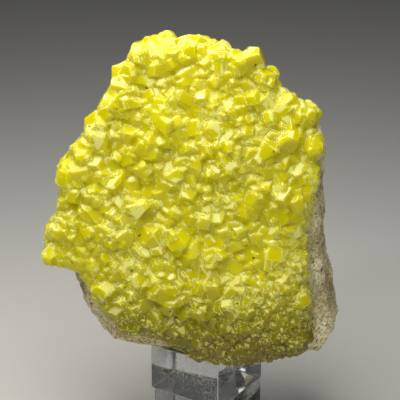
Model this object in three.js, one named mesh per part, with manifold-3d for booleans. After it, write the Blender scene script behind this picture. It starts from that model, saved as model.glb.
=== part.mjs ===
// Native sulfur crystals on their host rock, standing on two clear acrylic blocks.
// Millimetres, +Z up. The origin is the middle of the lower block's underside, and the
// face covered in crystals looks along -Y.
import * as THREE from 'three';
import { ConvexGeometry } from 'three/addons/geometries/ConvexGeometry.js';
import { ImprovedNoise } from 'three/addons/math/ImprovedNoise.js';
import { mergeVertices } from 'three/addons/utils/BufferGeometryUtils.js';
import Module from 'manifold-3d';

// ---------------------------------------------------------------- driving dimensions

// The stand: two equal square blocks, one turned and shifted on the other
const BLOCK_SIDE = 31.75;
const BLOCK_HEIGHT = 19.05;
const LOWER_TURN = THREE.MathUtils.degToRad(-28.4);
const UPPER_TURN = THREE.MathUtils.degToRad(-34.2);
const UPPER_SHIFT_X = -0.5;
const UPPER_SHIFT_Y = -2.4;
const CONTACT_GAP = 0.3;
const GROUND_SIDE = 200; // the block that cuts the specimen's underside flat
const GROUND_HEIGHT = 60;

// The specimen is drawn from the top of the upper block: X to the right, Z up from the
// block, and Y from the block's middle. Outlines are looked at from the front, as [X, Z],
// and run clockwise from the summit.
const SPECIMEN_MIDDLE_X = -4;
const SPECIMEN_MIDDLE_Z = 58;
const SPECIMEN_HEIGHT = 124;

const ROCK_OUTLINE = [
  [-8, 119], [8, 116], [19, 108], [27, 98], [38, 92.5], [43.5, 79], [45, 62], [44.5, 42],
  [48.5, 24], [51.5, 12], [48, 1.5], [34, -3], [0, -3], [-24, 1.5], [-38, 4.5], [-46, 13],
  [-51, 27], [-55, 36], [-55, 50], [-52, 66], [-49, 79], [-39, 88], [-34, 99], [-26, 110],
  [-18, 117],
];
const CRUST_OUTLINE = [
  [-10, 121.5], [6, 120], [17, 115], [23, 113.5], [25, 106], [36, 98], [41, 93], [42, 78],
  [40.5, 62], [38.5, 49], [39, 37], [41, 22], [42.5, 6], [28, 1], [4, -1.5], [-11, 2],
  [-24, 9], [-36, 11], [-44, 18], [-51, 31], [-60, 43], [-57, 55], [-55.5, 66],
  [-54, 76], [-48, 83.5], [-40, 93], [-36, 103], [-30, 113], [-22, 121],
];

// Depths at the foot and at the summit: the front leans back, and the slab is thinner on top
const CRUST_FRONT = { foot: -29, summit: -7 };
const CRUST_BACK = { foot: -8, summit: 7 };
const ROCK_FRONT = { foot: -19.5, summit: 1 };
const ROCK_BACK = { foot: 23, summit: 19 };
const ROCK_CLEARANCE = 0.5; // the rock is swelled by this much before it is cut from the crust

// Edges are rounded as a superellipse of this power, and the rock widens towards its back
const EDGE_POWER = 5;
const ROCK_FLARE = 0.05;
const BROAD_LUMP = { width: 17, height: 2.4 };
const SMALL_LUMP = { width: 7, height: 1.1 };

// Sulfur's own axes, a : b : c, and the share of c at which each crystal's tips are cut off
const AXIS_A = 0.813;
const AXIS_B = 1;
const AXIS_C = 1.903;
const TIP_CUT = 0.42;
const CRYSTAL_SPACING = 9.8;
const CRYSTAL_RADIUS = { smallest: 5.2, largest: 7.4 };
const CRYSTAL_LEAN = THREE.MathUtils.degToRad(50); // the most that one leans from its facing
const FRONT_MARGIN = 0.93; // crystals on the front stay within this share of the outline
const FRONT_COLUMNS = 9; // to each side of the middle
const FRONT_SHIFT = 1.6; // the most that a front crystal sits off its place in the rows
const FRONT_SUNK = { least: 0.5, most: 2.5 };
const RIM_SUNK = { least: 1.5, most: 3.5 };

// Towards the outline the front falls back: the power says how suddenly, the depth how far,
// and a larger reach turns the crystals there less
const FRONT_FALL = { power: 6, depth: 5, reach: 60 };
const RIM_FROM = THREE.MathUtils.degToRad(18); // the rim with crystals runs over the summit
const RIM_TO = THREE.MathUtils.degToRad(200);
const RIM_ROWS = [0.2, 0.75]; // each row's place from the crust's front to its back

const SEED = 20417;

// ---------------------------------------------------------------- helpers

const wasm = await Module();
wasm.setup();
const noise = new ImprovedNoise();

let randomState = SEED;

// A seeded random number from 0 to 1, so that every build is the same
function random() {
  randomState = (randomState * 1664525 + 1013904223) % 4294967296;
  return randomState / 4294967296;
}

function randomBetween(low, high) {
  return THREE.MathUtils.lerp(low, high, random());
}

// Shared corners merged, and the triangles that this leaves with no area dropped
function merge(geometry) {
  const bare = geometry.clone();
  bare.deleteAttribute('normal');
  bare.deleteAttribute('uv');
  const merged = mergeVertices(bare, 1e-4);
  const corners = merged.index.array;
  const kept = [];
  for (let i = 0; i < corners.length; i += 3) {
    const [a, b, c] = corners.slice(i, i + 3);
    if (a !== b && b !== c && c !== a) kept.push(a, b, c);
  }
  merged.setIndex(kept);
  return merged;
}

function toSolid(geometry) {
  const merged = merge(geometry);
  return new wasm.Manifold(new wasm.Mesh({
    numProp: 3,
    vertProperties: new Float32Array(merged.attributes.position.array),
    triVerts: new Uint32Array(merged.index.array),
  }));
}

// The largest connected piece of a solid, as geometry. Chips left loose by a cut are dropped.
function toGeometry(solid) {
  const mesh = solid.getMesh();
  const parent = Array.from({ length: mesh.vertProperties.length / mesh.numProp }, (_, i) => i);
  const rootOf = (vertex) => {
    let root = vertex;
    while (parent[root] !== root) root = parent[root];
    return root;
  };
  const triangles = [];
  for (let i = 0; i < mesh.triVerts.length; i += 3) {
    const corners = mesh.triVerts.slice(i, i + 3);
    triangles.push(corners);
    parent[rootOf(corners[1])] = rootOf(corners[0]);
    parent[rootOf(corners[2])] = rootOf(corners[0]);
  }
  const counts = new Map();
  for (const corners of triangles) {
    const root = rootOf(corners[0]);
    counts.set(root, (counts.get(root) ?? 0) + 1);
  }
  const [largest] = [...counts.entries()].sort((one, other) => other[1] - one[1])[0];
  const kept = triangles.filter((corners) => rootOf(corners[0]) === largest);
  const geometry = new THREE.BufferGeometry();
  geometry.setAttribute('position', new THREE.BufferAttribute(mesh.vertProperties, 3));
  geometry.setIndex(kept.flatMap((corners) => [...corners]));
  return geometry.toNonIndexed();
}

function depthAt(depths, z) {
  const share = THREE.MathUtils.clamp(z / SPECIMEN_HEIGHT, 0, 1);
  return THREE.MathUtils.lerp(depths.foot, depths.summit, share);
}

// An outline as a closed smooth curve, ready to be asked how far it reaches at an angle
function smoothOutline(points) {
  const corners = points.map(([x, z]) => new THREE.Vector3(x, 0, z));
  const curve = new THREE.CatmullRomCurve3(corners, true, 'catmullrom', 0.4);
  return curve.getPoints(points.length * 5);
}

// Distance from the specimen's middle to the outline along an angle, measured from +X to +Z
function reachOf(outline, angle) {
  const directionX = Math.cos(angle);
  const directionZ = Math.sin(angle);
  for (let i = 0; i < outline.length - 1; i += 1) {
    const startX = outline[i].x - SPECIMEN_MIDDLE_X;
    const startZ = outline[i].z - SPECIMEN_MIDDLE_Z;
    const alongX = outline[i + 1].x - outline[i].x;
    const alongZ = outline[i + 1].z - outline[i].z;
    const slope = directionX * alongZ - directionZ * alongX;
    const share = (directionZ * startX - directionX * startZ) / slope;
    const distance = (startX * alongZ - startZ * alongX) / slope;
    if (share >= 0 && share <= 1 && distance > 0) return distance;
  }
  throw new Error(`the outline has no point at ${angle}`);
}

// A closed lump with the given outline from the front, and front and back faces at given
// depths. A drum is bent to the outline, its edges are rounded, and noise makes it uneven.
function lumpGeometry({ outline, front, back, flare, around, across, through }) {
  const profile = [];
  for (let i = 0; i < across; i += 1) profile.push(new THREE.Vector2(i / across, -1));
  for (let i = 0; i <= through; i += 1) profile.push(new THREE.Vector2(1, (2 * i) / through - 1));
  for (let i = across - 1; i >= 0; i -= 1) profile.push(new THREE.Vector2(i / across, 1));
  const geometry = merge(new THREE.LatheGeometry(profile, around));
  const position = geometry.attributes.position;
  for (let i = 0; i < position.count; i += 1) {
    const side = position.getX(i);
    const depth = position.getY(i);
    const rise = position.getZ(i);
    const outward = Math.hypot(side, rise);
    const rounding = (outward ** EDGE_POWER + Math.abs(depth) ** EDGE_POWER) ** (1 / EDGE_POWER);
    const angle = Math.atan2(rise, side);
    const reach = reachOf(outline, angle) * (outward / rounding);
    const x = SPECIMEN_MIDDLE_X + reach * Math.cos(angle) * (1 + flare * depth);
    const z = SPECIMEN_MIDDLE_Z + reach * Math.sin(angle);
    const frontY = depthAt(front, z);
    const backY = depthAt(back, z);
    const y = (frontY + backY) / 2 + ((backY - frontY) / 2) * (depth / rounding);
    let bulge = 0;
    for (const lump of [BROAD_LUMP, SMALL_LUMP]) {
      bulge += noise.noise(x / lump.width, y / lump.width, z / lump.width) * lump.height;
    }
    position.setXYZ(
      i,
      x + Math.cos(angle) * bulge * outward,
      y + Math.sign(depth) * bulge * Math.abs(depth / rounding),
      z + Math.sin(angle) * bulge * outward,
    );
  }
  return geometry;
}

// The same shape with every corner moved out along its normal
function swell(geometry, distance) {
  const swelled = merge(geometry);
  swelled.computeVertexNormals();
  const position = swelled.attributes.position;
  const normal = swelled.attributes.normal;
  for (let i = 0; i < position.count; i += 1) {
    position.setXYZ(
      i,
      position.getX(i) + normal.getX(i) * distance,
      position.getY(i) + normal.getY(i) * distance,
      position.getZ(i) + normal.getZ(i) * distance,
    );
  }
  return swelled;
}

// ---------------------------------------------------------------- the sub-parts

function blockGeometry(grow) {
  return new THREE.BoxGeometry(BLOCK_SIDE + grow, BLOCK_SIDE + grow, BLOCK_HEIGHT + grow);
}

// What the specimen must stay clear of: the upper block, with the contact gap all round
function blockClearance() {
  const clearance = blockGeometry(2 * CONTACT_GAP);
  clearance.rotateZ(UPPER_TURN);
  clearance.translate(0, 0, -BLOCK_HEIGHT / 2);
  return toSolid(clearance);
}

// The rock's underside is flat where it rests, so everything below the gap is cut away
function groundClearance() {
  const ground = new THREE.BoxGeometry(GROUND_SIDE, GROUND_SIDE, GROUND_HEIGHT);
  ground.translate(0, 0, CONTACT_GAP - GROUND_HEIGHT / 2);
  return toSolid(ground);
}

function rockGeometry() {
  return lumpGeometry({
    outline: smoothOutline(ROCK_OUTLINE),
    front: ROCK_FRONT,
    back: ROCK_BACK,
    flare: ROCK_FLARE,
    around: 44,
    across: 6,
    through: 5,
  });
}

// One crystal: the rhombic double pyramid of sulfur with both tips cut off flat
function crystalGeometry(radius) {
  const corners = [];
  const ring = [[AXIS_A, 0], [0, AXIS_B], [-AXIS_A, 0], [0, -AXIS_B]];
  for (const [a, b] of ring) {
    corners.push(new THREE.Vector3(a, b, 0));
    for (const end of [-1, 1]) {
      corners.push(new THREE.Vector3(a * (1 - TIP_CUT), b * (1 - TIP_CUT), end * AXIS_C * TIP_CUT));
    }
  }
  return new ConvexGeometry(corners.map((corner) => corner.multiplyScalar(radius)));
}

// A crystal set at a point, leaning from the way the crust faces there
function crystalSolid(point, facing) {
  const radius = randomBetween(CRYSTAL_RADIUS.smallest, CRYSTAL_RADIUS.largest);
  const geometry = crystalGeometry(radius);
  geometry.rotateZ(randomBetween(0, Math.PI));
  const lean = randomBetween(0, CRYSTAL_LEAN);
  const about = randomBetween(0, 2 * Math.PI);
  geometry.applyQuaternion(new THREE.Quaternion().setFromAxisAngle(
    new THREE.Vector3(Math.cos(about), Math.sin(about), 0),
    lean,
  ));
  const up = new THREE.Vector3(0, 0, 1);
  geometry.applyQuaternion(new THREE.Quaternion().setFromUnitVectors(up, facing));
  geometry.translate(point.x, point.y, point.z);
  return toSolid(geometry);
}

// Places on the front: staggered rows, each place shifted a little
function frontPlaces(outline) {
  const places = [];
  const rowHeight = CRYSTAL_SPACING * Math.sqrt(3) / 2;
  const rows = Math.floor(SPECIMEN_HEIGHT / rowHeight);
  for (let row = 0; row <= rows; row += 1) {
    const stagger = (row % 2) * CRYSTAL_SPACING / 2;
    for (let column = -FRONT_COLUMNS; column <= FRONT_COLUMNS; column += 1) {
      const x = column * CRYSTAL_SPACING + stagger + randomBetween(-FRONT_SHIFT, FRONT_SHIFT);
      const z = row * rowHeight + randomBetween(-FRONT_SHIFT, FRONT_SHIFT);
      const outX = x - SPECIMEN_MIDDLE_X;
      const outZ = z - SPECIMEN_MIDDLE_Z;
      const share = Math.hypot(outX, outZ) / reachOf(outline, Math.atan2(outZ, outX));
      if (share > FRONT_MARGIN) continue;
      const fall = share ** FRONT_FALL.power;
      const turn = fall / FRONT_FALL.reach;
      const facing = new THREE.Vector3(turn * outX, -1, turn * outZ).normalize();
      const sunk = randomBetween(FRONT_SUNK.least, FRONT_SUNK.most);
      const y = depthAt(CRUST_FRONT, z) + fall * FRONT_FALL.depth + sunk;
      places.push({ point: new THREE.Vector3(x, y, z), facing });
    }
  }
  return places;
}

// Places on the rim that runs from the right shoulder, over the summit and down the left
function rimPlaces(outline) {
  const places = [];
  for (const row of RIM_ROWS) {
    let angle = RIM_FROM;
    while (angle < RIM_TO) {
      const reach = reachOf(outline, angle) - randomBetween(RIM_SUNK.least, RIM_SUNK.most);
      const x = SPECIMEN_MIDDLE_X + reach * Math.cos(angle);
      const z = SPECIMEN_MIDDLE_Z + reach * Math.sin(angle);
      const y = THREE.MathUtils.lerp(depthAt(CRUST_FRONT, z), depthAt(CRUST_BACK, z), row);
      const facing = new THREE.Vector3(Math.cos(angle), row - 1, Math.sin(angle)).normalize();
      places.push({ point: new THREE.Vector3(x, y, z), facing });
      angle += CRYSTAL_SPACING / reach;
    }
  }
  return places;
}

function sulfurSolid() {
  const outline = smoothOutline(CRUST_OUTLINE);
  const crust = lumpGeometry({
    outline,
    front: CRUST_FRONT,
    back: CRUST_BACK,
    flare: 0,
    around: 36,
    across: 4,
    through: 3,
  });
  let solid = toSolid(crust);
  for (const { point, facing } of [...frontPlaces(outline), ...rimPlaces(outline)]) {
    solid = solid.add(crystalSolid(point, facing));
  }
  const rockClearance = toSolid(swell(rockGeometry(), ROCK_CLEARANCE));
  return solid.subtract(rockClearance).subtract(blockClearance());
}

// ---------------------------------------------------------------- the object

function makeMesh(name, geometry, look) {
  geometry.computeVertexNormals();
  const mesh = new THREE.Mesh(geometry, new THREE.MeshStandardMaterial(look));
  mesh.name = name;
  return mesh;
}

const CLEAR_ACRYLIC = { color: 0xe4e8ea, roughness: 0.06, metalness: 0 };
const LIMESTONE = { color: 0x8f8672, roughness: 0.9, metalness: 0 };
const SULFUR = { color: 0xd6cc22, roughness: 0.25, metalness: 0 };

const lowerBlock = makeMesh('lower_block', blockGeometry(0), CLEAR_ACRYLIC);
lowerBlock.position.z = BLOCK_HEIGHT / 2;
lowerBlock.rotation.z = LOWER_TURN;

const upperBlock = makeMesh('upper_block', blockGeometry(0), CLEAR_ACRYLIC);
upperBlock.position.z = -BLOCK_HEIGHT / 2;
upperBlock.rotation.z = UPPER_TURN;

const rockSolid = toSolid(rockGeometry()).subtract(groundClearance());
const hostRock = makeMesh('host_rock', toGeometry(rockSolid), LIMESTONE);
const sulfurCrystals = makeMesh('sulfur_crystals', toGeometry(sulfurSolid()), SULFUR);

const specimenOnBlock = new THREE.Group();
specimenOnBlock.position.set(UPPER_SHIFT_X, UPPER_SHIFT_Y, 2 * BLOCK_HEIGHT + CONTACT_GAP);
specimenOnBlock.add(upperBlock, hostRock, sulfurCrystals);

const sulfurSpecimen = new THREE.Group();
sulfurSpecimen.add(lowerBlock, specimenOnBlock);

export default sulfurSpecimen;
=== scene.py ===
# %% [markdown]
# # Native sulfur crystals on a clear stand
# The object is a crust of sulfur crystals grown over a slab of limestone. It stands on two
# square blocks of clear acrylic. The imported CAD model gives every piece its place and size, and
# this notebook gives each one its finished surface.

# %% Load the frame
import math
import bpy
import bmesh
import numpy as np
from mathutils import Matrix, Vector
from mathutils.bvhtree import BVHTree


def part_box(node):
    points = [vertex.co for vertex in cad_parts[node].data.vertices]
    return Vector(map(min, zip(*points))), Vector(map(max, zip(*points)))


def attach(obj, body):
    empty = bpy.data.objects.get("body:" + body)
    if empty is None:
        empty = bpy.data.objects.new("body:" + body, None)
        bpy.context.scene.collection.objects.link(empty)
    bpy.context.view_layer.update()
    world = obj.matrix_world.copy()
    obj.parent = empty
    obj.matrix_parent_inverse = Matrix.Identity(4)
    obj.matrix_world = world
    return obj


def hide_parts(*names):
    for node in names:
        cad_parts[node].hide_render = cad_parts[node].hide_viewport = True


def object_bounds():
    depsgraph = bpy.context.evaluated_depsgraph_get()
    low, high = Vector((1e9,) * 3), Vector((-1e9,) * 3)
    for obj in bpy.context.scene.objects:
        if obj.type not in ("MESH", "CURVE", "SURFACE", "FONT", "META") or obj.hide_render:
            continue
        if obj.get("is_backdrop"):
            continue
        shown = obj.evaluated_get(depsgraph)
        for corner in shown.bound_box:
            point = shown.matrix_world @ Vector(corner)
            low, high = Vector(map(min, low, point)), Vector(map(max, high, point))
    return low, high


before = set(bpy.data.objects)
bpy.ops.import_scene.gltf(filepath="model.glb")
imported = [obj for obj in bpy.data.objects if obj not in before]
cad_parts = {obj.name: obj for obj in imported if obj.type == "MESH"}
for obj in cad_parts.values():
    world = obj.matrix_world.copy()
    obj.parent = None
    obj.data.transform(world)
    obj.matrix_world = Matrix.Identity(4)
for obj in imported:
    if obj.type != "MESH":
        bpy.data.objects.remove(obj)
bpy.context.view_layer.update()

MM = 0.001

# %% [markdown]
# ## Helpers for materials
# Three small helpers are used for every material. One turns a hex colour, as read from a colour
# chart, into the linear values that a shader needs. One adds a node with its settings and
# links, so that a node tree reads as a list of steps. One starts a material with an empty tree.

# %% Colour, node and material helpers
def colour(hex_value):
    """A linear RGBA colour from an sRGB hex value such as '#D8C800'."""
    channels = [int(hex_value[i:i + 2], 16) / 255 for i in (1, 3, 5)]
    linear = [c / 12.92 if c <= 0.04045 else ((c + 0.055) / 1.055) ** 2.4 for c in channels]
    return (*linear, 1.0)


def add(tree, kind, inputs=None, **settings):
    """A new node. Each input is a value, or a socket to link from."""
    node = tree.nodes.new(kind)
    for name, value in settings.items():
        setattr(node, name, value)
    for name, value in (inputs or {}).items():
        if isinstance(value, bpy.types.NodeSocket):
            tree.links.new(value, node.inputs[name])
        else:
            node.inputs[name].default_value = value
    return node


def new_material(name):
    """A new material with an empty node tree."""
    material = bpy.data.materials.new(name)
    material.use_nodes = True
    material.node_tree.nodes.clear()
    return material


print("a sulfur yellow in linear values:", [round(value, 3) for value in colour("#E4DC00")])

# %% [markdown]
# ## Native sulfur
# Sulfur is bright yellow because it takes out blue light. It bends light about as strongly as
# zircon does, so its faces flash. It also lets light a few millimetres in, so the crust glows
# and has no black shadows. A single yellow with one gloss would look like plastic, so the
# material is built up in steps: frosted faces with a painted highlight on those that look up,
# worn edges with a painted edge highlight, tone with painted shade at the foot, then the skin.

# %% Start the sulfur material
sulfur_skin = new_material("native sulfur, grown in a vug")
tree = sulfur_skin.node_tree
place = add(tree, "ShaderNodeTexCoord").outputs["Object"]
normal = add(tree, "ShaderNodeNewGeometry").outputs["Normal"]
print("started:", sulfur_skin.name)

# %% [markdown]
# ### Frosted faces, and painted shine on faces that look up
# Some crystal faces are etched and look frosted and pale, while the next one is still glassy.
# So each flat face needs a value of its own. Noise read at the face's direction gives one, and
# a slow drift with place keeps parallel faces apart. Faces that look up get more of the pale:
# that is a painted highlight, for the light from above that they would catch. Whole groups of
# crystals are frosted more or less, so both are added before the cut.

# %% Frosted faces, and painted shine on upward faces
FACE_DRIFT = 22.22 * MM  # over this distance, faces of one direction change their value
FROST_PATCH = 10.53 * MM  # a group of crystals with more or less frost
FACE_CHANGE = 2.3  # how fast the value changes as a face turns
UPWARD_PAINTED_SHINE = 0.07  # added to the value of a face that looks straight up, as a painted highlight
turned = add(tree, "ShaderNodeVectorMath", {0: place, "Scale": 1 / FACE_DRIFT}, operation="SCALE")
facing = add(tree, "ShaderNodeVectorMath", {0: normal, 1: turned.outputs[0]}, operation="ADD")
face_value = add(
    tree, "ShaderNodeTexNoise",
    {"Vector": facing.outputs[0], "Scale": FACE_CHANGE, "Detail": 1.0, "Roughness": 0.5}).outputs[0]
upward = add(tree, "ShaderNodeSeparateXYZ", {0: normal}).outputs["Z"]
# painted highlight: faces that look up are pushed toward the pale colour
face_value_and_top_shine = add(
    tree, "ShaderNodeMath", {0: upward, 1: UPWARD_PAINTED_SHINE, 2: face_value},
    operation="MULTIPLY_ADD").outputs[0]
patch = add(
    tree, "ShaderNodeTexNoise",
    {"Vector": place, "Scale": 1 / FROST_PATCH, "Detail": 2.0, "Roughness": 0.5}).outputs[0]
patch_lift = add(
    tree, "ShaderNodeMapRange",
    {"Value": patch, "From Min": 0.35, "From Max": 0.65, "To Min": -0.05, "To Max": 0.06}).outputs[0]
frost_and_top_shine_value = add(tree, "ShaderNodeMath", {0: face_value_and_top_shine, 1: patch_lift}, operation="ADD").outputs[0]
# the pale share is real frost, plus the painted highlight on faces that look up
frost_and_top_shine = add(
    tree, "ShaderNodeMapRange",
    {"Value": frost_and_top_shine_value, "From Min": 0.592, "From Max": 0.612,
     "To Min": 0.0, "To Max": 0.85}).outputs[0]
print("frosted faces:", len(tree.nodes), "nodes so far")

# %% [markdown]
# ### Worn edges, and painted edge highlights
# Sulfur is soft, so the sharp edges of the crystals are chipped to a pale line, here and there.
# The pale line is also a painted highlight, for the light that the edges catch. An ambient
# occlusion node that looks inward finds the edges: rays sent into a thin edge soon come out
# again. Toward the foot of the crust the pale is cut back, as painted shade.

# %% Worn edges, and painted edge highlights
EDGE_REACH = 0.8 * MM
WEAR_SIZE = 3.846 * MM  # an edge is worn for a few millimetres, and then whole again
thickness = add(
    tree, "ShaderNodeAmbientOcclusion", {"Distance": EDGE_REACH},
    inside=True, only_local=True, samples=6).outputs["AO"]
edge = add(
    tree, "ShaderNodeMapRange",
    {"Value": thickness, "From Min": 0.9, "From Max": 0.55, "To Min": 0.0, "To Max": 1.0}).outputs[0]
wear = add(
    tree, "ShaderNodeTexNoise",
    {"Vector": place, "Scale": 1 / WEAR_SIZE, "Detail": 3.0, "Roughness": 0.6}).outputs[0]
wear_strength = add(
    tree, "ShaderNodeMapRange",
    {"Value": wear, "From Min": 0.52, "From Max": 0.57, "To Min": 0.0, "To Max": 1.0}).outputs[0]
# painted highlight, with wear: convex edges turn pale where the wear noise allows
edge_wear_and_shine = add(tree, "ShaderNodeMath", {0: edge, 1: wear_strength}, operation="MULTIPLY").outputs[0]
# painted shade: this value grows toward the foot, where the crust gets less light
foot_shade = add(tree, "ShaderNodeAttribute", attribute_name="foot_shade").outputs["Fac"]
# painted shade: the pale is cut back toward the foot
foot_dimming = add(
    tree, "ShaderNodeMapRange",
    {"Value": foot_shade, "From Min": 0.0, "From Max": 1.0, "To Min": 1.0, "To Max": 0.55}).outputs[0]
pale_share = add(
    tree, "ShaderNodeMath", {0: frost_and_top_shine, 1: edge_wear_and_shine}, operation="MAXIMUM").outputs[0]
paleness = add(tree, "ShaderNodeMath", {0: pale_share, 1: foot_dimming}, operation="MULTIPLY").outputs[0]
print("worn edges:", len(tree.nodes), "nodes so far")

# %% [markdown]
# ### Tone, painted shade at the foot, and specks
# The yellow changes slowly over the crust. Toward its foot it turns olive brown, which is painted
# shade for the lower crust that gets less light. It is paler where it is frosted or worn, and where
# a highlight is painted on upward faces and edges. A few dark specks of bitumen sit among the
# crystals. Each is a Voronoi cell's middle, read at places that a finer noise has shaken, so it
# has a ragged outline.

# %% Tone, painted shade at the foot, and specks
TONE_SIZE = 14.29 * MM
SPECK_SPACING = 8.333 * MM
RAGGED_SIZE = 1.111 * MM
RAGGED_REACH = 2.2 * MM
cloud = add(
    tree, "ShaderNodeTexNoise",
    {"Vector": place, "Scale": 1 / TONE_SIZE, "Detail": 3.0, "Roughness": 0.6}).outputs[0]
tone = add(
    tree, "ShaderNodeMix",
    {"Factor": cloud, "A": colour("#C8BE00"), "B": colour("#E4DC00")}, data_type="RGBA")
# painted shade: olive brown toward the foot
foot_shaded = add(
    tree, "ShaderNodeMix",
    {"Factor": foot_shade, "A": tone.outputs["Result"], "B": colour("#7C7200")}, data_type="RGBA")
pale = add(
    tree, "ShaderNodeMix",
    {"Factor": paleness, "A": foot_shaded.outputs["Result"], "B": colour("#F3EF90")}, data_type="RGBA")
ragged = add(
    tree, "ShaderNodeTexNoise",
    {"Vector": place, "Scale": 1 / RAGGED_SIZE, "Detail": 2.0, "Roughness": 0.6}).outputs["Color"]
ragged_place = add(
    tree, "ShaderNodeVectorMath",
    {0: ragged, 1: (RAGGED_REACH,) * 3, 2: place}, operation="MULTIPLY_ADD").outputs[0]
speck_place = add(
    tree, "ShaderNodeTexVoronoi", {"Vector": ragged_place, "Scale": 1 / SPECK_SPACING, "Randomness": 1.0})
speck = add(
    tree, "ShaderNodeMapRange",
    {"Value": speck_place.outputs["Distance"], "From Min": 0.045, "From Max": 0.07,
     "To Min": 0.9, "To Max": 0.0}).outputs[0]
base = add(
    tree, "ShaderNodeMix",
    {"Factor": speck, "A": pale.outputs["Result"], "B": colour("#3A2C10")}, data_type="RGBA")
print("tone, stains and specks:", len(tree.nodes), "nodes so far")

# %% [markdown]
# ### The skin
# Pale faces are rougher and etched deeper, so they scatter the light where glassy ones flash.
# Light that scatters under the skin gives the glow: red and green travel millimetres, blue
# almost nothing, which keeps the shadows yellow. Only a small share passes straight through,
# because the real crust is cloudy. The specular level is low, so that the reflection of a pale
# room doesn't wash the yellow out.

# %% The sulfur's skin
ETCH_SIZE = 1.429 * MM  # real etch pits are finer, but they would not show
ETCH_DEPTH = 0.25 * MM
GLOW_DEPTH = 5.0 * MM
roughness = add(
    tree, "ShaderNodeMapRange",
    {"Value": paleness, "From Min": 0.0, "From Max": 0.8, "To Min": 0.19, "To Max": 0.45}).outputs[0]
bite = add(
    tree, "ShaderNodeMapRange",
    {"Value": paleness, "From Min": 0.0, "From Max": 0.8, "To Min": 0.15, "To Max": 0.8}).outputs[0]
etching = add(
    tree, "ShaderNodeTexNoise",
    {"Vector": place, "Scale": 1 / ETCH_SIZE, "Detail": 3.0, "Roughness": 0.65}).outputs[0]
bump = add(
    tree, "ShaderNodeBump", {"Height": etching, "Strength": bite, "Distance": ETCH_DEPTH})
skin = add(
    tree, "ShaderNodeBsdfPrincipled",
    {"Base Color": base.outputs["Result"], "Roughness": roughness, "Normal": bump.outputs[0],
     "IOR": 1.96, "Specular IOR Level": 0.15, "Subsurface Weight": 1.0,
     "Subsurface Radius": (1.0, 0.9, 0.04), "Subsurface Scale": GLOW_DEPTH,
     "Transmission Weight": 0.08})
add(tree, "ShaderNodeOutputMaterial", {"Surface": skin.outputs[0]})
print(sulfur_skin.name + ":", len(tree.nodes), "nodes")

# %% [markdown]
# ## Limestone
# The rock is a granular, grey-beige limestone with brown stains and small pits. A ramp over
# a broad noise lays out the stains. A Voronoi texture gives each grain its own tone, and a
# finer noise marks the pits where it is lowest: they are painted dark, as painted shade, with
# no hollow in the surface.

# %% Limestone colour
STAIN_SIZE = 13.33 * MM
GRAIN_SIZE = 0.7143 * MM
PIT_SIZE = 1.923 * MM
limestone = new_material("limestone, broken")
tree = limestone.node_tree
place = add(tree, "ShaderNodeTexCoord").outputs["Object"]
broad = add(
    tree, "ShaderNodeTexNoise",
    {"Vector": place, "Scale": 1 / STAIN_SIZE, "Detail": 4.0, "Roughness": 0.65}).outputs[0]
ramp = add(tree, "ShaderNodeValToRGB", {"Fac": broad})
stops = ramp.color_ramp.elements
stops[0].position, stops[0].color = 0.34, colour("#A8956A")
stops[1].position, stops[1].color = 0.66, colour("#F0E6BC")
middle = stops.new(0.50)
middle.color = colour("#D2C694")
grains = add(tree, "ShaderNodeTexVoronoi", {"Vector": place, "Scale": 1 / GRAIN_SIZE})
grain_value = add(tree, "ShaderNodeSeparateColor", {0: grains.outputs["Color"]}).outputs[0]
grain_tone = add(
    tree, "ShaderNodeMapRange",
    {"Value": grain_value, "From Min": 0.0, "From Max": 1.0, "To Min": 0.55, "To Max": 1.45}).outputs[0]
grained = add(
    tree, "ShaderNodeVectorMath", {0: ramp.outputs[0], "Scale": grain_tone}, operation="SCALE")
pits = add(
    tree, "ShaderNodeTexNoise",
    {"Vector": place, "Scale": 1 / PIT_SIZE, "Detail": 2.0, "Roughness": 0.5}).outputs[0]
# painted shade: the pits are only painted dark
pit_shade = add(
    tree, "ShaderNodeMapRange",
    {"Value": pits, "From Min": 0.31, "From Max": 0.37, "To Min": 0.85, "To Max": 0.0}).outputs[0]
pit_shaded = add(
    tree, "ShaderNodeMix",
    {"Factor": pit_shade, "A": grained.outputs[0], "B": colour("#33291F")}, data_type="RGBA")
print("limestone colour:", len(tree.nodes), "nodes so far")

# %% [markdown]
# ### Dust and sparkle
# Near the crust the rock is dusted yellow, grain by grain, by a value stored on its vertices.
# Broken limestone is dull, but a few grains of calcite lie flat and sparkle: they are the ones
# with the highest grain value, and only they get a low roughness.

# %% Limestone surface
RELIEF_SIZE = 1.25 * MM
RELIEF_DEPTH = 0.6 * MM
dust = add(tree, "ShaderNodeAttribute", attribute_name="sulfur_dust").outputs["Fac"]
dust_patch = add(tree, "ShaderNodeMath", {0: dust, 1: grain_value}, operation="MULTIPLY").outputs[0]
dusted = add(
    tree, "ShaderNodeMix",
    {"Factor": dust_patch, "A": pit_shaded.outputs["Result"], "B": colour("#A89B3A")}, data_type="RGBA")
sparkle = add(
    tree, "ShaderNodeMapRange",
    {"Value": grain_value, "From Min": 0.86, "From Max": 0.9, "To Min": 0.85, "To Max": 0.25}).outputs[0]
relief = add(
    tree, "ShaderNodeTexNoise",
    {"Vector": place, "Scale": 1 / RELIEF_SIZE, "Detail": 4.0, "Roughness": 0.7}).outputs[0]
bump = add(tree, "ShaderNodeBump", {"Height": relief, "Strength": 0.9, "Distance": RELIEF_DEPTH})
skin = add(
    tree, "ShaderNodeBsdfPrincipled",
    {"Base Color": dusted.outputs["Result"], "Roughness": sparkle, "Normal": bump.outputs[0],
     "IOR": 1.55})
add(tree, "ShaderNodeOutputMaterial", {"Surface": skin.outputs[0]})
print(limestone.name + ":", len(tree.nodes), "nodes")

# %% [markdown]
# ## Clear acrylic
# Cast acrylic is almost perfectly clear, with an index of 1.49. Its faces are flame-polished and
# carry fine scuffs from handling, which show as faint clouds. The edges were sawn, and there
# the polish left them a little cloudy, so they catch the light as pale lines.

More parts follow.
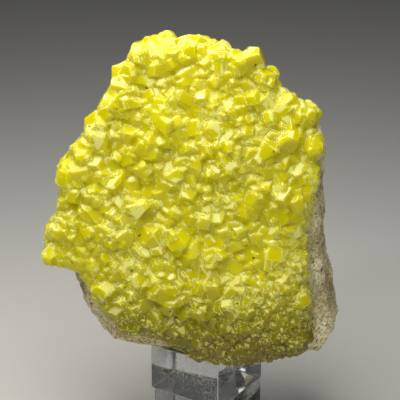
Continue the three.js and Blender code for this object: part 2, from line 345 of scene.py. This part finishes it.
# %% Acrylic material
HANDLED_SIZE = 16.67 * MM
HANDLED_WEIGHT = 0.3  # beside the scuffs
SCUFF_SIZE = 1.429 * MM  # real scuffs are hair fine, and are drawn wider so that they show
SCUFF_STRETCH = (1.0, 5.0, 1.0)  # scuffs are longer than they are wide
SCUFF_TURN = (0.3, 0.2, 0.7)  # radians, so that they don't follow the block's sides
acrylic = new_material("cast acrylic, flame-polished")
tree = acrylic.node_tree
place = add(tree, "ShaderNodeTexCoord").outputs["Object"]
stretched = add(
    tree, "ShaderNodeMapping", {"Vector": place, "Scale": SCUFF_STRETCH, "Rotation": SCUFF_TURN})
scuffs = add(
    tree, "ShaderNodeTexNoise",
    {"Vector": stretched.outputs[0], "Scale": 1 / SCUFF_SIZE, "Detail": 4.0, "Roughness": 0.7}).outputs[0]
handled = add(
    tree, "ShaderNodeTexNoise",
    {"Vector": place, "Scale": 1 / HANDLED_SIZE, "Detail": 2.0, "Roughness": 0.5}).outputs[0]
worn = add(
    tree, "ShaderNodeMath", {0: handled, 1: HANDLED_WEIGHT, 2: scuffs},
    operation="MULTIPLY_ADD").outputs[0]
scratch = add(
    tree, "ShaderNodeMapRange",
    {"Value": worn, "From Min": 0.68, "From Max": 0.78, "To Min": 0.0, "To Max": 0.6}).outputs[0]
edge = add(tree, "ShaderNodeAttribute", attribute_name="sawn_edge").outputs["Fac"]
cloudy = add(tree, "ShaderNodeMath", {0: scratch, 1: edge}, operation="MAXIMUM").outputs[0]
roughness = add(
    tree, "ShaderNodeMapRange",
    {"Value": cloudy, "From Min": 0.0, "From Max": 1.0, "To Min": 0.01, "To Max": 0.4}).outputs[0]
clearness = add(
    tree, "ShaderNodeMapRange",
    {"Value": cloudy, "From Min": 0.0, "From Max": 1.0, "To Min": 1.0, "To Max": 0.55}).outputs[0]
skin = add(
    tree, "ShaderNodeBsdfPrincipled",
    {"Base Color": colour("#F8FAFB"), "Roughness": roughness, "IOR": 1.49,
     "Transmission Weight": clearness})
add(tree, "ShaderNodeOutputMaterial", {"Surface": skin.outputs[0]})
print(acrylic.name + ":", len(tree.nodes), "nodes")

# %% [markdown]
# ## Helpers for meshes
# Every finished piece is a plain mesh with no live modifiers, so one helper gives back the mesh
# of an object with its modifiers applied. Another copies a CAD node with its loose triangles
# joined. The rest read the vertex places as an array, store one number at each vertex, and
# count triangles.

# %% Mesh helpers
WELD = 0.001 * MM  # corners nearer than this become one


def baked_mesh(thing, name):
    """The mesh of an object with its modifiers applied."""
    graph = bpy.context.evaluated_depsgraph_get()
    mesh = bpy.data.meshes.new_from_object(thing.evaluated_get(graph))
    mesh.name = name
    return mesh


def new_object(name, mesh):
    thing = bpy.data.objects.new(name, mesh)
    bpy.context.scene.collection.objects.link(thing)
    return thing


def merged_copy(node, name):
    """A copy of a CAD node with its loose triangles joined at their corners."""
    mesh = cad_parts[node].data.copy()
    work = bmesh.new()
    work.from_mesh(mesh)
    bmesh.ops.remove_doubles(work, verts=work.verts, dist=WELD)
    work.to_mesh(mesh)
    work.free()
    mesh.materials.clear()
    return new_object(name, mesh)


def vertex_array(mesh):
    values = np.empty(len(mesh.vertices) * 3, np.float32)
    mesh.vertices.foreach_get("co", values)
    return values.reshape(-1, 3)


def store_float(mesh, name, values):
    attribute = mesh.attributes.new(name, "FLOAT", "POINT")
    attribute.data.foreach_set("value", np.asarray(values, np.float32))


def triangles(mesh):
    return sum(len(face.vertices) - 2 for face in mesh.polygons)


for node in ("sulfur_crystals", "host_rock", "upper_block", "lower_block"):
    print("CAD", node + ":", triangles(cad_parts[node].data), "triangles")

# %% [markdown]
# ## Staying off the block
# The specimen rests on the upper block, which is turned a little. A point is over the block
# when it lies inside the block's turned square, and there it must stay above the block's top.

# %% Keep a mesh above the upper block
BLOCK_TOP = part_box("upper_block")[1].z
TOP_SLACK = 0.1 * MM  # a point this near to the top is on it
CONTACT_GAP = 0.3 * MM


def block_square():
    """The middle of the upper block's top, and its two side directions in plan."""
    points = vertex_array(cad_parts["upper_block"].data)
    top = points[points[:, 2] > BLOCK_TOP - TOP_SLACK]
    middle = (top.min(0) + top.max(0)) / 2
    front = top[np.argmin(top[:, 1])]
    right = top[np.argmax(top[:, 0])]
    side = (right - front)[:2]
    length = float(np.hypot(*side))
    return middle, side / length, length


BLOCK_MIDDLE, BLOCK_SIDE_WAY, BLOCK_SIDE = block_square()


def over_block(points, margin):
    """True for each point inside the block's square, grown by the margin."""
    flat = points[:, :2] - BLOCK_MIDDLE[:2]
    across = flat @ BLOCK_SIDE_WAY
    along = flat @ np.array([-BLOCK_SIDE_WAY[1], BLOCK_SIDE_WAY[0]])
    half = BLOCK_SIDE / 2 + margin
    return (np.abs(across) < half) & (np.abs(along) < half)


def lift_off_block(mesh):
    """Moves the points that are in or on the block to just above its top."""
    points = vertex_array(mesh)
    low = over_block(points, CONTACT_GAP) & (points[:, 2] < BLOCK_TOP + CONTACT_GAP)
    points[low, 2] = BLOCK_TOP + CONTACT_GAP
    mesh.vertices.foreach_set("co", points.ravel())
    mesh.update()


print("block side in mm:", round(BLOCK_SIDE / MM, 2))

# %% [markdown]
# ## The bed that the crystals grow from
# Under the crystals the sulfur is one solid mass. The bed is the CAD crust with its large
# crystals melted away: a voxel remesh joins it into one skin, smoothing rounds it, and it is
# then drawn in a little to leave room for the new crystals.

# %% Make the bed
BED_VOXEL = 1.5 * MM
BED_INSET = 0.9 * MM
MELT_FACTOR = 0.5  # how far each round moves a point toward its neighbours
MELT_ROUNDS = 45

bed_maker = merged_copy("sulfur_crystals", "bed_maker")
remesh = bed_maker.modifiers.new("one skin", "REMESH")
remesh.mode = "VOXEL"
remesh.voxel_size = BED_VOXEL
smooth = bed_maker.modifiers.new("melt the crystals", "SMOOTH")
smooth.factor = MELT_FACTOR
smooth.iterations = MELT_ROUNDS
inset = bed_maker.modifiers.new("draw in", "DISPLACE")
inset.mid_level = 0
inset.strength = -BED_INSET
bed = new_object("bed", baked_mesh(bed_maker, "bed"))
bpy.data.objects.remove(bed_maker)
print("bed:", triangles(bed.data), "triangles")

# %% [markdown]
# ### The bare rock and the knot
# At the lower left the crust stops short and leaves a strip of rock bare, and higher up a knot
# of crystals stands out. Both are small moves of the bed. Points near the crust's lower edge
# step back and up, points near the knot step outward, and each step fades out with distance.

# %% Bare the rock and push the knot out
BARE_EDGE = [  # x and z in mm, along the crust's lower left edge
    (-52.5, 70), (-44.5, 56.6), (-36.9, 46), (-19.3, 42.7), (-12.4, 38.2),
]
BARE_REACH = 9 * MM
BARE_STEP = np.array([0.55, 0.0, 0.83]) * 6 * MM
KNOT_PLACE = np.array([-60, 86]) * MM  # a knot of crystals that stands out at the left
KNOT_SIZE = 10 * MM
KNOT_STEP = np.array([-3.0, 0.0, 0.0]) * MM


def smoothstep(low, high, values):
    """0 at low, 1 at high, with a soft start and end."""
    share = np.clip((values - low) / (high - low), 0, 1)
    return share * share * (3 - 2 * share)


def edge_distance(points, line):
    """The distance in the x-z plane from each point to a line of corners, given in mm."""
    flat = points[:, (0, 2)]
    nearest = np.full(len(flat), np.inf)
    for start, end in zip(line, line[1:]):
        start, end = np.array(start) * MM, np.array(end) * MM
        way = end - start
        along = np.clip((flat - start) @ way / (way @ way), 0, 1)
        nearest = np.minimum(nearest, np.linalg.norm(flat - start - along[:, None] * way, axis=1))
    return nearest


bed_points = vertex_array(bed.data)
pulled = smoothstep(BARE_REACH, 0, edge_distance(bed_points, BARE_EDGE))
pushed = smoothstep(KNOT_SIZE, 0, np.linalg.norm(bed_points[:, (0, 2)] - KNOT_PLACE, axis=1))
bed_points = bed_points + pulled[:, None] * BARE_STEP + pushed[:, None] * KNOT_STEP
bed.data.vertices.foreach_set("co", bed_points.astype(np.float32).ravel())
bed.data.update()
print("moved:", int((pulled > 0).sum()), "points in, and", int((pushed > 0).sum()), "out")

# %% [markdown]
# ### Where crystals grow, and how large
# No crystal starts on the rock or against the stand, so the growth value falls to 0 near them.
# The crystals are large on the front of the crust, and small along its foot, on the knot and
# down the right edge. Both values are stored at the bed's vertices, where the scattering can
# read them by name.

# %% Say where crystals grow, and how coarse they are
ROCK_NEAR, ROCK_FAR = 2.6 * MM, 4.8 * MM  # from the rock: no crystals, and all of them
STAND_MARGIN, STAND_CLEAR = 2.5 * MM, 3.5 * MM  # beside the block, and above its top

# in mm, the first number is where fine crystals start and the second where all are fine
FINE_FOOT = (62, 44)  # heights
FOOT_MIDDLE, FOOT_SLOPE = 5, 0.10  # the foot's fine crust is highest at this x
FINE_RIM, RIM_HEIGHT = (31, 40), (125, 105)
FINE_KNOT, FINE_KNOT_REACH, KNOT_SQUASH = (-56, 80), (20, 8), 0.8
FINE_CORNER, FINE_CORNER_REACH = (36, 62), (34, 14)


def rock_distance(points):
    """The distance from each point to the surface of the CAD rock."""
    rock = merged_copy("host_rock", "rock_probe")
    tree = BVHTree.FromObject(rock, bpy.context.evaluated_depsgraph_get())
    distance = np.array([tree.find_nearest(Vector(p))[3] for p in points])
    bpy.data.objects.remove(rock)
    return distance


def coarseness(points):
    """1 where crystals are large, 0 where they are a fine sugary crust."""
    x, z = points[:, 0] / MM, points[:, 2] / MM
    fine = smoothstep(*FINE_FOOT, z + FOOT_SLOPE * np.abs(x - FOOT_MIDDLE))
    from_knot = np.hypot(x - FINE_KNOT[0], (z - FINE_KNOT[1]) * KNOT_SQUASH)
    lobe = smoothstep(*FINE_KNOT_REACH, from_knot)
    corner = smoothstep(*FINE_CORNER_REACH, np.hypot(x - FINE_CORNER[0], z - FINE_CORNER[1]))
    edge = smoothstep(*FINE_RIM, x) * smoothstep(*RIM_HEIGHT, z)
    return 1 - np.clip(fine + lobe + corner + edge, 0, 1)


bed_points = vertex_array(bed.data)
growth = smoothstep(ROCK_NEAR, ROCK_FAR, rock_distance(bed_points))
low = bed_points[:, 2] < BLOCK_TOP + STAND_CLEAR
growth[over_block(bed_points, STAND_MARGIN) & low] = 0
store_float(bed.data, "growth", growth)
store_float(bed.data, "coarse", coarseness(bed_points))
print("bed:", len(bed.data.vertices), "points,", round(float(growth.mean()), 2), "of it with crystals")

# %% [markdown]
# ## One crystal
# Sulfur grows as a steep double pyramid on a rhombic base, with blunter pyramids and a flat
# face cutting off the tips. A crystal is the space inside a set of planes, so its corners
# are the points where three planes meet that lie inside all the others. Each plane's place
# is varied, so the shapes differ as those of real crystals do.

# %% Cut crystal shapes from planes
AXES = (0.813, 1.0, 1.903)  # sulfur's unit cell, a : b : c
FORMS = {  # Miller indices, and the distance of each form's planes from the middle
    (1, 1, 1): 0.80,
    (1, 1, 3): 1.06,
    (0, 1, 1): 0.96,
    (0, 0, 1): 1.02,
}
SHAPE_COUNT = 10
SHAPE_SEED = 7
DISTANCE_SPREAD = 0.13
PARALLEL = 1e-4  # three planes with a smaller determinant don't meet in one corner
SAME_CORNER = 1e-4
INSIDE_SLACK = 1e-6


def form_planes(indices):
    """Every plane of a form: the Miller indices with all their signs."""
    signs = {(a, b, c) for a in (-1, 1) for b in (-1, 1) for c in (-1, 1)}
    hkl = {tuple(s * i for s, i in zip(sign, indices)) for sign in signs}
    return [Vector([i / axis for i, axis in zip(one, AXES)]).normalized() for one in sorted(hkl)]


def crystal_mesh(name, random):
    """One crystal of about unit radius, with one of its faces turned up."""
    planes = []
    for indices, distance in FORMS.items():
        for normal in form_planes(indices):
            share = random.uniform(1 - DISTANCE_SPREAD, 1 + DISTANCE_SPREAD)
            planes.append((normal, distance * share))
    normals = np.array([normal for normal, _ in planes])
    distances = np.array([distance for _, distance in planes])
    corners = []
    for i in range(len(planes)):
        for j in range(i):
            for k in range(j):
                three = [i, j, k]
                if abs(np.linalg.det(normals[three])) < PARALLEL:
                    continue
                corner = np.linalg.solve(normals[three], distances[three])
                if np.all(normals @ corner <= distances + INSIDE_SLACK):
                    corners.append(corner)
    work = bmesh.new()
    for corner in corners:
        work.verts.new(corner)
    bmesh.ops.remove_doubles(work, verts=work.verts, dist=SAME_CORNER)
    bmesh.ops.convex_hull(work, input=work.verts)
    outward = planes[random.integers(len(planes))][0]
    work.transform(outward.rotation_difference(Vector((0, 0, 1))).to_matrix().to_4x4())
    mesh = bpy.data.meshes.new(name)
    work.to_mesh(mesh)
    work.free()
    return mesh


shape_random = np.random.default_rng(SHAPE_SEED)
crystal_shapes = bpy.data.collections.new("crystal shapes")
for index in range(SHAPE_COUNT):
    name = f"crystal_{index}"
    shape = bpy.data.objects.new(name, crystal_mesh(name, shape_random))
    crystal_shapes.objects.link(shape)

# %% [markdown]
# ## Growing the crust
# Noise that pushes a surface in and out can't make flat faces that meet in sharp edges, so
# whole crystals are placed instead. Geometry Nodes scatter the shapes over the bed in three
# sizes. Points are kept a set distance apart, each gets a random shape, turn and size, and
# each is sunk a little into the bed. The fine crystals only grow where the bed's coarseness
# is low.

# %% Build the scattering tree
LAYERS = {  # spacing, smallest and largest radius in mm, share of the radius sunk, zone
    "coarse": (4.6, 3.6, 5.6, 0.66, "coarse"),
    "medium": (3.1, 2.3, 3.8, 0.58, "all"),
    "fine": (1.9, 1.0, 2.0, 0.25, "fine"),
}
CRUST_SEED = 11
POINTS_TRIED = 1.6  # for each square of the spacing, before those too close are dropped
LEAN = math.radians(18)  # how far a crystal's outer face may lean from the bed


def grow_tree():
    """A node tree that covers a surface with crystals in three sizes."""
    tree = bpy.data.node_groups.new("grow crystals", "GeometryNodeTree")
    face = tree.interface
    face.new_socket("Geometry", in_out="OUTPUT", socket_type="NodeSocketGeometry")
    face.new_socket("Geometry", in_out="INPUT", socket_type="NodeSocketGeometry")
    face.new_socket("Shapes", in_out="INPUT", socket_type="NodeSocketCollection")
    face.new_socket("Seed", in_out="INPUT", socket_type="NodeSocketInt")
    face.new_socket("Material", in_out="INPUT", socket_type="NodeSocketMaterial")
    for layer in LAYERS:
        for size in ("spacing", "smallest", "largest", "sunk"):
            face.new_socket(f"{layer} {size}", in_out="INPUT", socket_type="NodeSocketFloat")
    start = add(tree, "NodeGroupInput").outputs
    growth_field = add(tree, "GeometryNodeInputNamedAttribute", {"Name": "growth"}, data_type="FLOAT")
    coarse_field = add(tree, "GeometryNodeInputNamedAttribute", {"Name": "coarse"}, data_type="FLOAT")
    fine_field = add(tree, "ShaderNodeMath", {0: 1.0, 1: coarse_field.outputs[0]}, operation="SUBTRACT")
    zone_fields = {"coarse": coarse_field.outputs[0], "fine": fine_field.outputs[0], "all": 1.0}
    shapes = add(
        tree, "GeometryNodeCollectionInfo",
        {"Collection": start["Shapes"], "Separate Children": True, "Reset Children": True})
    together = add(tree, "GeometryNodeJoinGeometry", {0: start["Geometry"]})
    for number, (layer, (*_, zone)) in enumerate(LAYERS.items()):
        seed = add(tree, "ShaderNodeMath", {0: start["Seed"], 1: float(number)}, operation="ADD")
        where = add(
            tree, "ShaderNodeMath",
            {0: growth_field.outputs[0], 1: zone_fields[zone]}, operation="MULTIPLY")
        area = add(
            tree, "ShaderNodeMath",
            {0: start[f"{layer} spacing"], 1: start[f"{layer} spacing"]}, operation="MULTIPLY")
        density = add(tree, "ShaderNodeMath", {0: POINTS_TRIED, 1: area.outputs[0]}, operation="DIVIDE")
        points = add(
            tree, "GeometryNodeDistributePointsOnFaces",
            {"Mesh": start["Geometry"], "Distance Min": start[f"{layer} spacing"],
             "Density Max": density.outputs[0], "Density Factor": where.outputs[0],
             "Seed": seed.outputs[0]},
            distribute_method="POISSON")
        radius = add(
            tree, "FunctionNodeRandomValue",
            {"Min": start[f"{layer} smallest"], "Max": start[f"{layer} largest"],
             "Seed": seed.outputs[0]},
            data_type="FLOAT")
        lean = add(
            tree, "FunctionNodeRandomValue",
            {"Min": (-LEAN, -LEAN, 0.0), "Max": (LEAN, LEAN, math.tau), "Seed": seed.outputs[0]},
            data_type="FLOAT_VECTOR")
        turn = add(
            tree, "FunctionNodeRotateRotation",
            {"Rotation": points.outputs["Rotation"], "Rotate By": lean.outputs["Value"]},
            rotation_space="LOCAL")
        depth = add(
            tree, "ShaderNodeMath",
            {0: radius.outputs["Value"], 1: start[f"{layer} sunk"]}, operation="MULTIPLY")
        inward = add(
            tree, "ShaderNodeVectorMath",
            {0: points.outputs["Normal"], "Scale": depth.outputs[0]}, operation="SCALE")
        back = add(tree, "ShaderNodeVectorMath", {0: inward.outputs[0], "Scale": -1.0}, operation="SCALE")
        sunk = add(
            tree, "GeometryNodeSetPosition",
            {"Geometry": points.outputs["Points"], "Offset": back.outputs[0]})
        grown = add(
            tree, "GeometryNodeInstanceOnPoints",
            {"Points": sunk.outputs[0], "Instance": shapes.outputs[0], "Pick Instance": True,
             "Rotation": turn.outputs[0], "Scale": radius.outputs["Value"]})
        tree.links.new(grown.outputs[0], together.inputs[0])
    real = add(tree, "GeometryNodeRealizeInstances", {0: together.outputs[0]})
    made = add(
        tree, "GeometryNodeSetMaterial",
        {"Geometry": real.outputs[0], "Material": start["Material"]})
    add(tree, "NodeGroupOutput", {0: made.outputs[0]})
    return tree


def set_input(modifier, name, value):
    """Sets a Geometry Nodes input by its socket's identifier."""
    for item in modifier.node_group.interface.items_tree:
        if item.name == name and item.in_out == "INPUT":
            modifier[item.identifier] = value
            return
    raise KeyError(name)


crust_tree_group = grow_tree()
print(crust_tree_group.name + ":", len(crust_tree_group.nodes), "nodes")

# %% [markdown]
# ### One skin from many crystals
# The scattered crystals cut through each other, and a real crust has only its outer skin. A
# boolean union of so many solids is slow and often fails. A voxel remesh keeps the outer skin
# just as well, with voxels much finer than the smallest crystal. Most of its faces lie flat on
# a crystal face, so Decimate can drop them, and flat shading keeps each facet crisp.

# %% Grow the crystals and join them into one skin
FOOT_SHADE_TOP, FOOT_SHADE_LOW = 80 * MM, 45 * MM  # between these heights the crust turns thin, and its colour is darkened as painted shade
CRUST_VOXEL = 0.36 * MM
KEPT_SHARE = 0.30  # of the remeshed faces, which flat crystal faces don't need

grow = bed.modifiers.new("grow", "NODES")
grow.node_group = crust_tree_group
set_input(grow, "Shapes", crystal_shapes)
set_input(grow, "Seed", CRUST_SEED)
set_input(grow, "Material", sulfur_skin)
for layer, (spacing, smallest, largest, sunk_share, _) in LAYERS.items():
    set_input(grow, f"{layer} spacing", spacing * MM)
    set_input(grow, f"{layer} smallest", smallest * MM)
    set_input(grow, f"{layer} largest", largest * MM)
    set_input(grow, f"{layer} sunk", sunk_share)
join = bed.modifiers.new("one skin", "REMESH")
join.mode = "VOXEL"
join.voxel_size = CRUST_VOXEL
join.use_smooth_shade = True
thin = bed.modifiers.new("fewer faces", "DECIMATE")
thin.ratio = KEPT_SHARE
sulfur = new_object("sulfur_crust", baked_mesh(bed, "sulfur_crust"))
bpy.data.objects.remove(bed)
lift_off_block(sulfur.data)
sulfur.data.shade_flat()
# painted shade: a value that grows toward the foot, read by the sulfur material
store_float(sulfur.data, "foot_shade", smoothstep(FOOT_SHADE_TOP, FOOT_SHADE_LOW, vertex_array(sulfur.data)[:, 2]))
print("sulfur crust:", triangles(sulfur.data), "triangles")

# %% [markdown]
# ## The host rock
# The slab is a broken piece of limestone. Its broad shape comes from the CAD rock. Geometry
# Nodes then push the surface in and out along its normals, with wide lumps first, then the
# flat chips that a hammer leaves, then grains. A Voronoi texture gives the chips: inside each
# cell the surface is a plane that leans its own way.

# %% Build the tree that roughens the rock
ROCK_VOXEL = 1.15 * MM
ROCK_SIZES = {  # width and height in mm
    "lump": (13.0, 2.0),
    "chip": (6.0, 0.9),
    "grain": (1.6, 0.55),
}


def rock_tree():
    """A node tree that roughens a surface with lumps, chips and grains."""
    tree = bpy.data.node_groups.new("roughen rock", "GeometryNodeTree")
    face = tree.interface
    face.new_socket("Geometry", in_out="OUTPUT", socket_type="NodeSocketGeometry")
    face.new_socket("Geometry", in_out="INPUT", socket_type="NodeSocketGeometry")
    face.new_socket("Material", in_out="INPUT", socket_type="NodeSocketMaterial")
    for size in ROCK_SIZES:
        face.new_socket(f"{size} width", in_out="INPUT", socket_type="NodeSocketFloat")
        face.new_socket(f"{size} height", in_out="INPUT", socket_type="NodeSocketFloat")
    start = add(tree, "NodeGroupInput").outputs
    place = add(tree, "GeometryNodeInputPosition").outputs[0]
    normal = add(tree, "GeometryNodeInputNormal").outputs[0]

    def scale_of(size):
        inputs = {0: 1.0, 1: start[f"{size} width"]}
        return add(tree, "ShaderNodeMath", inputs, operation="DIVIDE").outputs[0]

    def height_of(size, value):
        centred = add(tree, "ShaderNodeMath", {0: value, 1: 0.5}, operation="SUBTRACT")
        inputs = {0: centred.outputs[0], 1: start[f"{size} height"]}
        return add(tree, "ShaderNodeMath", inputs, operation="MULTIPLY").outputs[0]

    lump = add(
        tree, "ShaderNodeTexNoise",
        {"Vector": place, "Scale": scale_of("lump"), "Detail": 3.0, "Roughness": 0.6})
    cell = add(tree, "ShaderNodeTexVoronoi", {"Vector": place, "Scale": scale_of("chip")})
    from_cell = add(
        tree, "ShaderNodeVectorMath", {0: place, 1: cell.outputs["Position"]}, operation="SUBTRACT")
    lean = add(
        tree, "ShaderNodeVectorMath",
        {0: cell.outputs["Color"], 1: (0.5, 0.5, 0.5)}, operation="SUBTRACT")
    slope = add(
        tree, "ShaderNodeVectorMath",
        {0: from_cell.outputs[0], 1: lean.outputs[0]}, operation="DOT_PRODUCT")
    slope_scaled = add(
        tree, "ShaderNodeMath", {0: slope.outputs["Value"], 1: scale_of("chip"), 2: 0.5},
        operation="MULTIPLY_ADD")
    grain = add(
        tree, "ShaderNodeTexNoise",
        {"Vector": place, "Scale": scale_of("grain"), "Detail": 4.0, "Roughness": 0.75})
    lump_height = height_of("lump", lump.outputs[0])
    chip_height = height_of("chip", slope_scaled.outputs[0])
    grain_height = height_of("grain", grain.outputs[0])
    broad = add(tree, "ShaderNodeMath", {0: lump_height, 1: chip_height}, operation="ADD")
    total = add(tree, "ShaderNodeMath", {0: broad.outputs[0], 1: grain_height}, operation="ADD")
    offset = add(tree, "ShaderNodeVectorMath", {0: normal, "Scale": total.outputs[0]}, operation="SCALE")
    moved = add(tree, "GeometryNodeSetPosition", {0: start["Geometry"], "Offset": offset.outputs[0]})
    real = add(tree, "GeometryNodeRealizeInstances", {0: moved.outputs[0]})
    made = add(
        tree, "GeometryNodeSetMaterial",
        {"Geometry": real.outputs[0], "Material": start["Material"]})
    add(tree, "NodeGroupOutput", {0: made.outputs[0]})
    return tree


rock_tree_group = rock_tree()
print(rock_tree_group.name + ":", len(rock_tree_group.nodes), "nodes")

# %% [markdown]
# ### Roughen and dust the rock
# The CAD rock has few, large faces, so a voxel remesh first gives it small, even ones that
# can move. Rock close to the crust is dusted with sulfur. The distance to the crust is
# measured here and stored at the vertices, and the limestone material reads it.

# %% Roughen the rock
HEIGHT_GAIN = 2  # the textures only fill about half of their range
SULFUR_DUST_REACH = 5 * MM

rock_maker = merged_copy("host_rock", "rock_maker")
remesh = rock_maker.modifiers.new("even faces", "REMESH")
remesh.mode = "VOXEL"
remesh.voxel_size = ROCK_VOXEL
remesh.use_smooth_shade = True
rough = rock_maker.modifiers.new("roughen", "NODES")
rough.node_group = rock_tree_group
set_input(rough, "Material", limestone)
for size, (width, height) in ROCK_SIZES.items():
    set_input(rough, f"{size} width", width * MM)
    set_input(rough, f"{size} height", height * HEIGHT_GAIN * MM)
rock = new_object("rough_rock", baked_mesh(rock_maker, "rough_rock"))
bpy.data.objects.remove(rock_maker)
lift_off_block(rock.data)

crust_tree = BVHTree.FromObject(sulfur, bpy.context.evaluated_depsgraph_get())
from_crust = np.array([crust_tree.find_nearest(Vector(p))[3] for p in vertex_array(rock.data)])
store_float(rock.data, "sulfur_dust", 1 - np.clip(from_crust / SULFUR_DUST_REACH, 0, 1))
print("rock:", triangles(rock.data), "triangles")

# %% [markdown]
# ## The acrylic blocks
# Each block is sawn square from cast acrylic and flame-polished, so its edges carry a
# hairline bevel that catches the light. The CAD boxes have razor edges, so each is copied
# and given that bevel. The strips of the bevel are marked, and the material clouds them.

# %% Bevel the blocks
EDGE_BEVEL = 0.3 * MM
BEVEL_SEGMENTS = 3
FLAT_ANGLE = 0.01  # radians, between triangles of one side
SHARP_ANGLE = math.radians(20)
EDGE_AREA = 20 * MM * MM  # the strips of a bevel are smaller than this, the sides larger


def polished_block(node):
    """A copy of a CAD block with bevelled edges, which are marked for the material."""
    maker = merged_copy(node, node + "_maker")
    work = bmesh.new()
    work.from_mesh(maker.data)
    bmesh.ops.dissolve_limit(work, angle_limit=FLAT_ANGLE, verts=work.verts, edges=work.edges)
    work.to_mesh(maker.data)
    work.free()
    bevel = maker.modifiers.new("edge", "BEVEL")
    bevel.width = EDGE_BEVEL
    bevel.segments = BEVEL_SEGMENTS
    block = new_object("polished_" + node, baked_mesh(maker, "polished_" + node))
    bpy.data.objects.remove(maker)
    block.data.shade_smooth()
    block.data.set_sharp_from_angle(angle=SHARP_ANGLE)
    edge = block.data.attributes.new("sawn_edge", "FLOAT", "FACE")
    edge.data.foreach_set("value", [float(face.area < EDGE_AREA) for face in block.data.polygons])
    return block


blocks = {node: polished_block(node) for node in ("upper_block", "lower_block")}
print("blocks:", {node: triangles(block.data) for node, block in blocks.items()}, "triangles")

# %% [markdown]
# ## Put the materials on
# Each piece gets its material and the body it moves with, and the CAD node that it takes the
# place of is hidden. The part has one body, so all pieces ride on the root.

# %% Put the materials on
def finish_piece(piece, material, node):
    """Gives a piece its material and body, and hides its CAD node."""
    piece.data.materials.clear()
    piece.data.materials.append(material)
    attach(piece, "root")
    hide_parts(node)
    print(piece.name, "is", material.name)


finish_piece(sulfur, sulfur_skin, "sulfur_crystals")
finish_piece(rock, limestone, "host_rock")
for node, block in blocks.items():
    finish_piece(block, acrylic, node)

# %% [markdown]
# ## Floor, light and camera
# The floor is a plain sheet of pale, matt paper, much wider than the view.

# %% Floor
FLOOR_HALF = 4.0  # metres
floor_mesh = bpy.data.meshes.new("floor")
corners = [(x * FLOOR_HALF, y * FLOOR_HALF, 0) for x, y in ((-1, -1), (1, -1), (1, 1), (-1, 1))]
floor_mesh.from_pydata(corners, [], [(0, 1, 2, 3)])
floor = new_object("floor", floor_mesh)
floor_paint = bpy.data.materials.new("matt paper")
floor_paint.use_nodes = True
paper = floor_paint.node_tree.nodes["Principled BSDF"]
paper.inputs["Base Color"].default_value = colour("#D2D1CD")
paper.inputs["Roughness"].default_value = 0.9
floor_mesh.materials.append(floor_paint)
floor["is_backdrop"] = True
print("floor side in m:", 2 * FLOOR_HALF)

# %% [markdown]
# ### Light
# A large softbox close above gives each upward face a broad, even shine. A small key light at
# the upper left picks out single facets and gives short, crisp shadows, and a weak fill at the
# front right keeps the far side of the crystals from going dark. The room itself is dim.

# %% Light
AIM = Vector((-3.2 * MM, -2.4 * MM, 97.5 * MM))  # the lights and the camera look at this place
LIGHTS = {  # place and size in metres, power in watts, colour
    "overhead softbox": ((-0.06, -0.08, 0.40), (0.40, 0.30), 1.75, "#FFFDF8"),
    "key light": ((-0.22, -0.26, 0.40), (0.06, 0.06), 0.4, "#FFFDF8"),
    "front fill": ((0.45, -0.60, 0.26), (0.4, 0.4), 0.5, "#FFFFFF"),
}
ROOM_STRENGTH = 0.06


def soft_light(name, place, size, power, tint):
    data = bpy.data.lights.new(name, "AREA")
    data.shape = "RECTANGLE"
    data.size, data.size_y = size
    data.energy = power
    data.color = colour(tint)[:3]
    light = bpy.data.objects.new(name, data)
    light.location = place
    light.rotation_mode = "QUATERNION"
    light.rotation_quaternion = (AIM - Vector(place)).to_track_quat("-Z", "Y")
    bpy.context.scene.collection.objects.link(light)


for name, settings in LIGHTS.items():
    soft_light(name, *settings)
world = bpy.data.worlds.new("pale room")
world.use_nodes = True
world.node_tree.nodes["Background"].inputs["Color"].default_value = colour("#E6E7E8")
world.node_tree.nodes["Background"].inputs["Strength"].default_value = ROOM_STRENGTH
bpy.context.scene.world = world
# Standard shows colours as they are, and the yellow keeps its strength
bpy.context.scene.view_settings.view_transform = "Standard"
print("lights:", {name: settings[2] for name, settings in LIGHTS.items()}, "watts")

# %% [markdown]
# ### Camera
# A long lens, a little above the specimen and aimed at its middle, keeps upright edges almost
# parallel. The width of the view and the lens give the distance.

# %% Camera
CAMERA_ELEVATION = math.radians(20.7)
CAMERA_LENS = 135.0  # focal length in mm
FRAME_WIDTH = 153.0 * MM  # what the view takes in at the specimen
camera_data = bpy.data.cameras.new("camera")
camera_data.lens = CAMERA_LENS
distance = FRAME_WIDTH * CAMERA_LENS / camera_data.sensor_width
camera = bpy.data.objects.new("camera", camera_data)
back = Vector((0, -math.cos(CAMERA_ELEVATION), math.sin(CAMERA_ELEVATION)))
camera.location = AIM + back * distance
camera.rotation_mode = "QUATERNION"
camera.rotation_quaternion = (-back).to_track_quat("-Z", "Y")
bpy.context.scene.collection.objects.link(camera)
bpy.context.scene.camera = camera
print("camera distance in mm:", round(distance / MM))

# %% [markdown]
# ## The size of the finished pieces
# The finished pieces must fill the same space as the CAD model, so the box around them is
# printed.

# %% Print the size of the finished pieces
low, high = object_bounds()
print("visual box in mm:", [round(v / MM, 1) for v in (*low, *high)])
